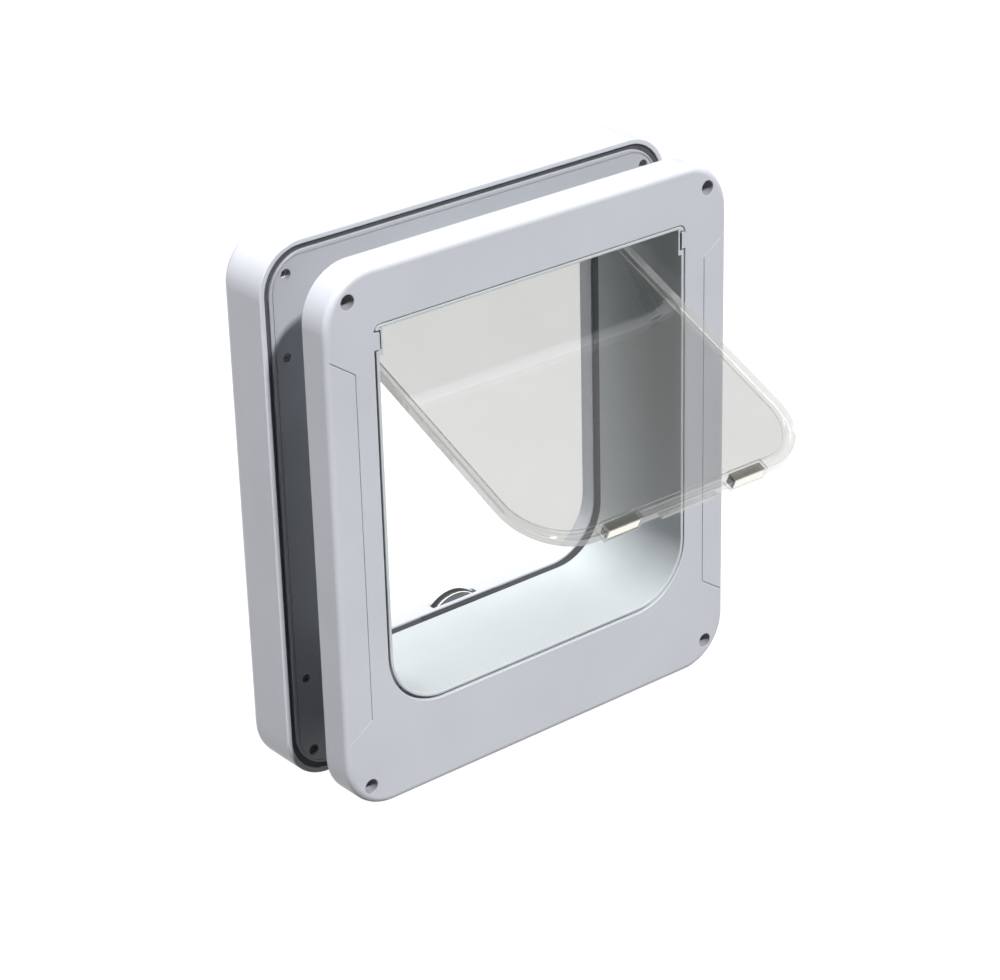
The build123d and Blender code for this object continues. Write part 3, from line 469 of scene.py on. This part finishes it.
@dataclass(frozen=True)
class RimmedAcrylic(ClearAcrylic):
    """The flap's acrylic: its thick rim is painted greyer than the web on the left, as painted shade, and
    clearer on the right.
    """

    # Colour of the painted shade on the rim's left side; the right side keeps the clear tint
    rim: str = "#BEBEBB"
    clear_rim: str = "#ECECEA"
    fade_mm: Tuple[float, float] = (-62.0, 30.0)
    hinge_y_mm: float = 59.4
    hinge_z_mm: float = 96.4
    open_degrees: float = 65.0
    corner_mm: Point = (49.3, 1000.0, 139.6)
    rim_start_mm: float = 26.2
    rim_fade_mm: float = 0.1
    haze: float = 0.08
    bar_x_mm: float = 35.4
    bar_reach_mm: float = 9.6
    bar_fade_mm: float = 0.4

    def material(self) -> bpy.types.Material:
        """Build the sheet's material and let its rim, except over the bars, scatter a little light.

        Returns:
            The material.
        """
        material = super().material()
        tree = material.node_tree
        shader = next(node for node in tree.nodes if node.type == "BSDF_PRINCIPLED")
        place = add_node(tree, "ShaderNodeTexCoord").outputs["Object"]
        across = add_node(tree, "ShaderNodeSeparateXYZ", links={0: place})
        side = add_node(tree, "ShaderNodeMath", links={0: across.outputs["X"]}, operation="ABSOLUTE")
        aside = add_node(tree, "ShaderNodeMath", {1: self.bar_x_mm * MM}, {0: side.outputs["Value"]},
                         operation="SUBTRACT")
        reach = add_node(tree, "ShaderNodeMath", links={0: aside.outputs["Value"]}, operation="ABSOLUTE")
        faded_mm = self.bar_reach_mm + self.bar_fade_mm
        free = add_node(tree, "ShaderNodeMapRange",
                        {"From Min": self.bar_reach_mm * MM, "From Max": faded_mm * MM},
                        {"Value": reach.outputs["Value"]})
        hazy = add_node(tree, "ShaderNodeMath", links={0: free.outputs["Result"], 1: self.rim_share(tree)},
                        operation="MULTIPLY")
        clear = add_node(tree, "ShaderNodeMapRange", {"To Min": 1.0, "To Max": 1.0 - self.haze},
                         {"Value": hazy.outputs["Value"]})
        tree.links.new(clear.outputs["Result"], shader.inputs["Transmission Weight"])
        return material

    def rim_share(self, tree: bpy.types.NodeTree) -> bpy.types.NodeSocket:
        """Tell the rim from the web, in a frame that hangs from the flap's hinge.

        Args:
            tree: The node tree.

        Returns:
            A share, 1 on the rim and 0 on the web.
        """
        swing = math.radians(self.open_degrees)
        hinge = Vector((0.0, self.hinge_y_mm, self.hinge_z_mm)) * MM
        turned = Matrix.Rotation(swing, 3, "X") @ hinge
        place = add_node(tree, "ShaderNodeTexCoord").outputs["Object"]
        hung = add_node(tree, "ShaderNodeMapping", {"Rotation": (swing, 0.0, 0.0), "Location": -turned},
                        {"Vector": place})
        return beyond(tree, hung.outputs["Vector"], self.corner_mm, self.rim_start_mm,
                      self.rim_start_mm + self.rim_fade_mm)

    def colour(self, tree: bpy.types.NodeTree) -> bpy.types.NodeSocket:
        """Give the sheet's tint, with painted shade on the rim fading out from the left side to the right.

        Args:
            tree: The node tree.

        Returns:
            The tint.
        """
        place = add_node(tree, "ShaderNodeTexCoord").outputs["Object"]
        across = add_node(tree, "ShaderNodeSeparateXYZ", links={0: place})
        left, right = (end * MM for end in self.fade_mm)
        fade = add_node(tree, "ShaderNodeMapRange", {"From Min": left, "From Max": right},
                        {"Value": across.outputs["X"]}, interpolation_type="SMOOTHSTEP")
        # Painted shade on the rim, strong on the left and fading out to the right
        rim = add_node(tree, "ShaderNodeMix", {6: linear(self.rim), 7: linear(self.clear_rim)},
                       {0: fade.outputs["Result"]}, data_type="RGBA")
        tints = {0: self.rim_share(tree), 6: super().colour(tree), 7: rim.outputs[2]}
        mixed = add_node(tree, "ShaderNodeMix", links=tints, data_type="RGBA")
        return mixed.outputs[2]


@dataclass(frozen=True)
class Metal:
    """Plated, ground or drawn metal: full metal, with fine marks along one direction."""

    name: str
    low: str
    high: str
    roughness: float = 0.2
    mark_mm: float = 0.4
    stretch: Point = (0.05, 1.0, 1.0)
    depth_mm: float = 0.002
    swing_share: float = 0.3
    detail: float = 3.0

    def material(self) -> bpy.types.Material:
        """Build the finish's material.

        Returns:
            The material.
        """
        material, tree, shader = new_material(self.name)
        shader.inputs["Metallic"].default_value = 1.0
        marks = uneven(tree, self.mark_mm, self.detail, self.stretch)
        tree.links.new(tint(tree, marks, self.low, self.high), shader.inputs["Base Color"])
        grain(tree, shader, marks, self.roughness * (1.0 - self.swing_share),
              self.roughness * (1.0 + self.swing_share), self.depth_mm)
        return material


@dataclass(frozen=True)
class WoundCopper:
    """Enamelled copper wire in close turns: warm metal with a ridge for each wire."""

    name: str
    low: str
    high: str
    wire_mm: float = 0.5
    ridge_mm: float = 0.1
    roughness: float = 0.3

    def material(self) -> bpy.types.Material:
        """Build the finish's material.

        Returns:
            The material.
        """
        material, tree, shader = new_material(self.name)
        shader.inputs["Metallic"].default_value = 1.0
        shader.inputs["Roughness"].default_value = self.roughness
        place = add_node(tree, "ShaderNodeTexCoord")
        wires = add_node(tree, "ShaderNodeTexWave", {"Scale": per_metre(self.wire_mm) / math.tau},
                         {"Vector": place.outputs["Object"]}, bands_direction="Y").outputs["Fac"]
        tree.links.new(tint(tree, wires, self.low, self.high), shader.inputs["Base Color"])
        ridges = add_node(tree, "ShaderNodeBump", {"Strength": 1.0, "Distance": self.ridge_mm * MM},
                          {"Height": wires})
        tree.links.new(ridges.outputs["Normal"], shader.inputs["Normal"])
        return material


class Colour(Enum):
    """Pairs of near colours, low and high, of each kind of piece and of the studio's paper."""

    TRIM = ("#C8CBD2", "#CDD0D7")
    SHELL = ("#CCCFD6", "#D1D4DB")
    SLEEVE = ("#C9CFD1", "#CED4D6")
    PLATE = ("#B0B2B8", "#B5B7BD")
    GROOVE = ("#4A4D50", "#56595C")
    DARK = ("#3E4043", "#4A4C4F")
    BLACK = ("#151618", "#1D1E20")
    DIAL = ("#333538", "#3C3E41")
    FACE = ("#5D6063", "#65686B")
    LENS = ("#DDE8E0", "#E6EFE8")
    BUSH = ("#E6E2D6", "#EEEAE0")
    GREY = ("#8B8E93", "#94979C")
    BOX = ("#A5A8AC", "#AEB1B5")
    BOARD = ("#12402A", "#1A5236")
    CELL = ("#2E3338", "#394047")
    NICKEL = ("#E6E3D8", "#F0EDE4")
    STEEL = ("#A4A5A8", "#BDBEC1")
    ZINC = ("#77797D", "#8E9094")
    YOKE = ("#5B5E63", "#6D7076")
    COPPER = ("#8A4A26", "#C87A48")
    ACRYLIC = ("#E5E5E3", "#E7E7E5")
    PAPER = ("#585858", "#5A5A5A")


def dress(node: str, material: bpy.types.Material) -> None:
    """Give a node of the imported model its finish.

    Args:
        node: The node's name.
        material: The finish's material.
    """
    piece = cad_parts[node]
    piece.material_slots[0].material = material
    LOG.info("%s wears %s", node, material.name)


# Sub-assemblies
@dataclass
class OutdoorTrim:
    """The trim frame on the outdoor face of the door."""

    def build(self) -> None:
        """Dress the trim frame in pale, cool ABS with a satin sheen and painted shade in its fixing holes.
        """
        dress("front_frame", BoreShadedPlastic("satin_abs_trim", *Colour.TRIM.value).material())


@dataclass
class Passage:
    """The tunnel through the door, with the dark band at the flap's closed place."""

    def build(self) -> None:
        """Dress the tunnel and its band."""
        # ABS from a smoother tool: its walls catch a soft sheen along their length
        polished = MouldedPlastic("satin_abs_sleeve", *Colour.SLEEVE.value, roughness=0.3, gloss=0.26,
                                  depth_mm=0.0008)
        dress("tunnel_sleeve", polished.material())
        # Rubber: a dull dark band that mirrors nothing
        dress("draught_seal", MouldedRubber("rubber_band", *Colour.DARK.value).material())


@dataclass
class IndoorUnit:
    """The deep housing indoors, with its flat plate and the strip in the groove."""

    shell: bpy.types.Material

    def build(self) -> None:
        """Dress the housing, the plate, its screws and the strip."""
        dress("rear_shell", self.shell)
        # ABS, a little greyer than the housing, with painted shade in its screw holes
        plate = BoreShadedPlastic("matt_abs_plate", *Colour.PLATE.value, hole_r_mm=2.5)
        dress("backing_plate", plate.material())
        dress("perimeter_seal", MouldedRubber("rubber_strip", *Colour.GROOVE.value).material())
        # Zinc plate: dull grey metal
        dress("plate_screws", Metal("zinc_screw", *Colour.ZINC.value, roughness=0.35).material())


@dataclass
class Flap:
    """The clear flap with its bars and pivots, sizes in millimetres."""

    end_edge: float = 0.3
    end_sink: float = 0.5

    def build(self) -> None:
        """Dress the flap, the bars, the pins and the bushes."""
        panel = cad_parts["flap_panel"]
        dress("flap_panel", RimmedAcrylic("clear_acrylic", *Colour.ACRYLIC.value).material())
        panel.visible_shadow = False
        panel.visible_diffuse = False
        # Nickel plate is a warm, clear mirror, and the bars' ends get a dull black that is a painted
        # reflection of the dark they mirror
        nickel = Metal("nickel_plate", *Colour.NICKEL.value, roughness=0.12).material()
        dark_end_paint = MouldedPlastic("painted_dark_reflection", *Colour.BLACK.value, roughness=0.6, gloss=0.2).material()
        # Ground steel shows a blurred, streaked gleam, and acetal is waxy and off-white
        steel = Metal("ground_steel", *Colour.STEEL.value, roughness=0.28).material()
        acetal = MouldedPlastic("acetal_bush", *Colour.BUSH.value, roughness=0.35).material()
        for side in ("left", "right"):
            self._bar(side, nickel, dark_end_paint)
            dress("hinge_pin_" + side, steel)
            dress("hinge_bush_" + side, acetal)

    def _bar(self, side: str, nickel: bpy.types.Material, dark_end_paint: bpy.types.Material) -> None:
        """Model a plated magnet bar whose ends are sunk and painted a dull black, a painted reflection.

        Args:
            side: The bar's side of the flap.
            nickel: Finish of the bar.
            dark_end_paint: Finish of its ends, black as a painted reflection.
        """
        bar = take("magnet_bar_" + side, "plated_bar_" + side)
        wear(bar, (nickel, dark_end_paint))
        pick(bar, lambda middle, normal: abs(normal.x) > FACING)
        bpy.ops.mesh.inset(thickness=self.end_edge * MM, use_individual=True)
        # Paint the sunk ends black, a painted reflection
        paint(bar, 1)
        bpy.ops.mesh.inset(thickness=self.end_edge * MM, depth=-self.end_sink * MM, use_individual=True)
        hand_over(bar, "flap")
        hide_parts("magnet_bar_" + side)
        bar.visible_shadow = False


@dataclass
class LatchWorks:
    """The blades under the sill and what lifts them, sizes in millimetres."""

    spring_top_z: float = -88.6
    lift: float = 8.0

    def build(self) -> None:
        """Dress the guide, the blades and the solenoids, and model the springs."""
        # Filled nylon is dark and dull, and the steel parts gleam against their grey zinc yokes
        dark = MouldedPlastic("dark_nylon", *Colour.DARK.value, roughness=0.5).material()
        steel = Metal("plunger_steel", *Colour.STEEL.value, roughness=0.25).material()
        yoke = Metal("zinc_yoke", *Colour.YOKE.value, roughness=0.4).material()
        wire = Metal("spring_wire", *Colour.STEEL.value, roughness=0.22).material()
        dress("latch_guide", dark)
        for side in ("out", "in"):
            dress("latch_blade_" + side, dark)
            dress("plunger_" + side, steel)
            dress("solenoid_" + side, yoke)
            self._spring(side, wire)

    def _spring(self, side: str, wire: bpy.types.Material) -> None:
        """Model a return spring, which rides on the frame.

        Args:
            side: Which blade the spring works on.
            wire: Finish of the spring.
        """
        spring = take("return_spring_" + side, "coiled_spring_" + side)
        wear(spring, (wire,))
        hand_over(spring, "frame")
        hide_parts("return_spring_" + side)
        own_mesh(spring)


@dataclass
class LockDial:
    """The thumb dial in the sill, with what holds it, sizes in millimetres."""

    axis_z: float = -95.8
    face_y: float = 64.3
    rim_r: float = 17.8
    chamfer: float = 0.7
    bevel: float = 0.24
    face_inner_r: float = 13.2
    skin: float = 0.05
    pointer: Point = (1.0, 0.3, 7.0)
    pointer_y: float = 70.5
    pointer_rise: float = 6.0
    pointer_edge: float = 0.12
    facets: int = 160

    def build(self) -> None:
        """Dress the dial, its magnet and its retainer, and model the dial's face and pointer."""
        # Dark ABS with a broad, faint sheen
        dress("lock_dial", MouldedPlastic("satin_abs_dial", *Colour.DIAL.value, roughness=0.5).material())
        self._face()
        self._pointer()
        # Nickel plate on the magnet, dull nylon and zinc round it
        dress("mode_magnet", Metal("magnet_nickel", *Colour.NICKEL.value, roughness=0.18).material())
        retainer = MouldedPlastic("dark_nylon_plate", *Colour.DARK.value, roughness=0.5)
        dress("dial_retainer", retainer.material())
        dress("retainer_screws", Metal("zinc_small_screw", *Colour.ZINC.value, roughness=0.35).material())

    def _face(self) -> None:
        """Model the dial's grey face ring, a thin skin on the disc, with its bevel painted pale as a
        painted highlight.
        """
        edge_r = self.rim_r - self.chamfer
        outer_r = edge_r + self.bevel + self.skin
        centre = (0.0, (self.face_y + self.bevel) * MM, self.axis_z * MM)
        bpy.ops.object.select_all(action="DESELECT")
        bpy.ops.mesh.primitive_circle_add(vertices=self.facets, radius=outer_r * MM, location=centre,
                                          rotation=(math.pi / 2, 0.0, 0.0))
        ring = settle("dial_face_ring")
        wear(ring, (MouldedPlastic("grey_abs_face", *Colour.FACE.value, roughness=0.55).material(),
                    MouldedPlastic("painted_highlight_bevel", *Colour.BUSH.value, roughness=0.4).material()))
        steps = ((edge_r / outer_r, self.bevel + self.skin), (self.face_inner_r / edge_r, 0.0))
        for share, forward in steps:
            bpy.ops.mesh.extrude_region_move(TRANSFORM_OT_translate={"value": (0.0, -forward * MM, 0.0)})
            bpy.ops.transform.resize(value=(share, 1.0, share), center_override=centre)
        # The slanted bevel faces take the pale painted highlight
        pick(ring, lambda middle, normal: abs(normal.y) < FACING)
        paint(ring, 1)
        bpy.ops.mesh.select_all(action="SELECT")
        bpy.ops.mesh.normals_make_consistent(inside=False)
        bpy.ops.mesh.solidify(thickness=self.skin * MM)
        hand_over(ring, "dial")

    def _pointer(self) -> None:
        """Model the pale pointer let into the knob's grip, with rounded edges."""
        width, height, length = (size * MM for size in self.pointer)
        place = (0.0, self.pointer_y * MM, (self.axis_z + self.pointer_rise) * MM)
        bpy.ops.object.select_all(action="DESELECT")
        bpy.ops.mesh.primitive_cube_add(size=1.0, location=place, scale=(width, height, length))
        pointer = settle("knob_pointer")
        wear(pointer, (MouldedPlastic("white_abs_pointer", *Colour.BUSH.value, roughness=0.4).material(),))
        pick(pointer, lambda middle, normal: normal.y > FACING)
        bpy.ops.mesh.bevel(offset=self.pointer_edge * MM, segments=2)
        hand_over(pointer, "dial")


@dataclass
class Electronics:
    """Board, coil, button and lamp in the top rail, sizes in millimetres."""

    back_y: float = 70.5
    dish_edge: float = 0.7
    dish_depth: float = 0.3
    dish_steps: Tuple[float, float] = (0.6, 0.4)
    lens_edge: float = 0.35

    def build(self) -> None:
        """Dress the electronics and model the button's dish and the lamp's lens."""
        # Solder mask: a shiny green lacquer over the board
        mask = MouldedPlastic("solder_mask", *Colour.BOARD.value, roughness=0.3)
        dress("control_board", mask.material())
        dress("board_screws", Metal("zinc_board_screw", *Colour.ZINC.value, roughness=0.35).material())
        dress("antenna_coil", WoundCopper("enamelled_copper", *Colour.COPPER.value).material())
        self._button()
        self._lamp()

    def _button(self) -> None:
        """Model the button with a shallow dish for a fingertip."""
        button = take("pair_button", "dished_button")
        wear(button, (MouldedPlastic("grey_abs_button", *Colour.GREY.value, roughness=0.45).material(),))
        pick_back(button, self.back_y)
        bpy.ops.mesh.inset(thickness=self.dish_edge * MM)
        for share in self.dish_steps:
            bpy.ops.mesh.inset(thickness=self.dish_edge * MM, depth=-self.dish_depth * share * MM)
        hand_over(button, "button")
        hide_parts("pair_button")

    def _lamp(self) -> None:
        """Model the light pipe with a bevelled, faintly milky end."""
        lamp = take("light_pipe", "lamp_lens")
        # Polycarbonate with a diffuser: pale and faintly green, as a lamp that is off
        wear(lamp, (MouldedPlastic("milky_polycarbonate", *Colour.LENS.value, roughness=0.25).material(),))
        pick_back(lamp, self.back_y)
        bpy.ops.mesh.bevel(offset=self.lens_edge * MM, segments=3)
        hand_over(lamp, "frame")
        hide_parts("light_pipe")


@dataclass
class BatteryPack:
    """Two boxes of two cells in the bottom rail, each under a cover, sizes in millimetres."""

    shell: bpy.types.Material
    back_y: float = 70.7
    edge: float = 1.1
    slope: float = 0.3
    step: float = 0.6

    def build(self) -> None:
        """Dress the boxes, the cells and the contacts, and model the covers."""
        grey = MouldedPlastic("grey_abs_box", *Colour.BOX.value, roughness=0.5).material()
        for side in ("left", "right"):
            dress("battery_box_" + side, grey)
            self._cover(side)
        # Shrink film: dark, smooth and shiny
        sleeve = MouldedPlastic("printed_sleeve", *Colour.CELL.value, roughness=0.3)
        dress("battery_cells", sleeve.material())
        dress("battery_contacts", Metal("contact_strip", *Colour.STEEL.value, roughness=0.25).material())

    def _cover(self, side: str) -> None:
        """Model a battery cover whose panel is stepped down inside a flush border.

        Args:
            side: The cover's side of the unit.
        """
        cover = take("battery_cover_" + side, "stepped_cover_" + side)
        wear(cover, (self.shell,))
        pick_back(cover, self.back_y)
        bpy.ops.mesh.inset(thickness=self.edge * MM)
        bpy.ops.mesh.inset(thickness=self.slope * MM, depth=-self.step * MM)
        hand_over(cover, "cover_" + side)
        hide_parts("battery_cover_" + side)


# Camera and studio
@dataclass
class PhotoCamera:
    """The photograph's camera, found from the fixing holes of both frames."""

    place: Point = (-0.745542, -0.891595, 0.551658)
    right: Point = (0.76945, -0.63824, -0.02422)
    up: Point = (0.29141, 0.31707, 0.90252)
    focal_px: float = 2916.293
    image_px: float = 1000.0
    sensor_mm: float = 36.0
    near: float = 0.05
    far: float = 60.0

    def build(self) -> None:
        """Add the camera and make it the scene's own."""
        data = bpy.data.cameras.new("photo_camera")
        data.sensor_fit = "HORIZONTAL"
        data.sensor_width = self.sensor_mm
        data.lens = self.focal_px / self.image_px * self.sensor_mm
        data.clip_start = self.near
        data.clip_end = self.far
        camera = bpy.data.objects.new("photo_camera", data)
        right = Vector(self.right).normalized()
        up = Vector(self.up).normalized()
        turn = Matrix((right, up, right.cross(up))).transposed()
        camera.matrix_world = Matrix.Translation(self.place) @ turn.to_4x4()
        bpy.context.scene.collection.objects.link(camera)
        bpy.context.scene.camera = camera
        LOG.info("camera at %s", self.place)


@dataclass(frozen=True)
class Softbox:
    """A soft studio light that looks at the object."""

    name: str
    place: Point
    size: Tuple[float, float]
    watts: float
    mirrored: bool = True

    def build(self) -> None:
        """Add the light, which shiny faces mirror only if it says so."""
        data = bpy.data.lights.new(self.name, "AREA")
        data.shape = "RECTANGLE"
        data.size, data.size_y = self.size
        data.energy = self.watts
        light = bpy.data.objects.new(self.name, data)
        light.location = self.place
        light.rotation_euler = (-Vector(self.place)).to_track_quat("-Z", "Y").to_euler()
        light.visible_glossy = self.mirrored
        bpy.context.scene.collection.objects.link(light)


@dataclass
class Studio:
    """A pale floor, a sun-like key light from outdoors and above, softboxes and a faint even fill."""

    floor_size: float = 16.0
    floor_gap: float = 0.0001
    backdrop_r: float = 7.5
    backdrop_height: float = 3.0
    backdrop_facets: int = 96
    paper_cloud_mm: float = 300.0
    key_elevation: float = 50.0
    key_side: float = 0.0
    key_strength: float = 3.9
    key_angle: float = 4.0
    sky: float = 0.08
    ground: float = 0.02
    horizon: Tuple[float, float] = (-0.05, 0.1)
    sky_colour: str = "#FAFBFF"

    def build(self, low_z: float) -> None:
        """Build the studio round the object.

        Args:
            low_z: Height of the object's lowest point.
        """
        paper = self._paper()
        self._floor(low_z, paper)
        self._backdrop(low_z, paper)
        self._key()
        self._world()
        for box in (
            Softbox("top_softbox", (-0.3, 0.4, 2.4), (2.2, 0.7), 45.0, mirrored=False),
            Softbox("left_softbox", (-2.6, 0.5, 0.7), (0.7, 2.0), 33.0, mirrored=False),
            Softbox("right_softbox", (2.0, 0.5, 2.3), (2.4, 2.4), 4.0),
            Softbox("back_softbox", (0.6, 2.8, 0.9), (1.8, 1.6), 14.0, mirrored=False),
        ):
            box.build()
        view = bpy.context.scene.view_settings
        view.view_transform = "Standard"
        view.look = "None"

    def _paper(self) -> bpy.types.Material:
        """Build white paper, which glows so that shadows on it stay faint.

        Returns:
            The material.
        """
        material, tree, shader = new_material("white_paper")
        clouds = uneven(tree, self.paper_cloud_mm)
        tree.links.new(tint(tree, clouds, *Colour.PAPER.value), shader.inputs["Base Color"])
        shader.inputs["Roughness"].default_value = 1.0
        shader.inputs["Specular IOR Level"].default_value = 0.0
        shader.inputs["Emission Color"].default_value = linear("#FFFFFF")
        shader.inputs["Emission Strength"].default_value = 1.0
        return material

    def _floor(self, low_z: float, paper: bpy.types.Material) -> None:
        """Lay a plain white floor.

        Args:
            low_z: Height of the object's lowest point.
            paper: The floor's finish.
        """
        bpy.ops.object.select_all(action="DESELECT")
        bpy.ops.mesh.primitive_plane_add(size=self.floor_size, location=(0.0, 0.0, low_z - self.floor_gap))
        bpy.ops.object.transform_apply()
        floor = bpy.context.object
        floor.name = "studio_floor"
        floor.data.materials.append(paper)
        floor.visible_diffuse = False
        floor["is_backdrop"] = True

    def _backdrop(self, low_z: float, paper: bpy.types.Material) -> None:
        """Hang the same paper all round, far off, where it takes no part in the lighting.

        Args:
            low_z: Height of the object's lowest point.
            paper: The backdrop's finish.
        """
        bpy.ops.object.select_all(action="DESELECT")
        middle = (0.0, 0.0, low_z + self.backdrop_height / 2)
        bpy.ops.mesh.primitive_cylinder_add(vertices=self.backdrop_facets, radius=self.backdrop_r,
                                            depth=self.backdrop_height, end_fill_type="NOTHING",
                                            location=middle)
        bpy.ops.object.transform_apply()
        backdrop = bpy.context.object
        backdrop.name = "studio_backdrop"
        backdrop.data.materials.append(paper)
        backdrop.visible_diffuse = False
        backdrop.visible_glossy = False
        backdrop.visible_shadow = False
        backdrop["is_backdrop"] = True

    def _key(self) -> None:
        """Add the key light, small enough for a crisp shadow."""
        data = bpy.data.lights.new("key_light", "SUN")
        data.energy = self.key_strength
        data.angle = math.radians(self.key_angle)
        light = bpy.data.objects.new("key_light", data)
        rise = math.radians(self.key_elevation)
        turn = math.radians(self.key_side)
        towards = Vector((math.sin(turn) * math.cos(rise), -math.cos(turn) * math.cos(rise),
                          math.sin(rise)))
        light.rotation_euler = (-towards).to_track_quat("-Z", "Y").to_euler()
        bpy.context.scene.collection.objects.link(light)

    def _world(self) -> None:
        """Set a faint even sky over a nearly dark ground."""
        world = bpy.data.worlds.new("studio_world")
        world.use_nodes = True
        tree = world.node_tree
        place = add_node(tree, "ShaderNodeTexCoord")
        height = add_node(tree, "ShaderNodeSeparateXYZ", links={"Vector": place.outputs["Generated"]})
        low, high = self.horizon
        strength = add_node(tree, "ShaderNodeMapRange",
                            {"From Min": low, "From Max": high, "To Min": self.ground, "To Max": self.sky},
                            {"Value": height.outputs["Z"]})
        tree.links.new(strength.outputs["Result"], tree.nodes["Background"].inputs["Strength"])
        tree.nodes["Background"].inputs["Color"].default_value = linear(self.sky_colour)
        bpy.context.scene.world = world


def main() -> None:
    """Build the camera, the studio and each sub-assembly."""
    logging.basicConfig(level=logging.INFO, format="%(name)s: %(message)s")
    cad_box = [list(corner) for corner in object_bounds()]
    PhotoCamera().build()
    Studio().build(cad_box[0][2])
    shell = MouldedPlastic("satin_abs_shell", *Colour.SHELL.value).material()
    for part in (OutdoorTrim(), Passage(), IndoorUnit(shell), Flap(), LatchWorks(), LockDial(),
                 Electronics(), BatteryPack(shell)):
        part.build()


if __name__ == "__main__":
    main()
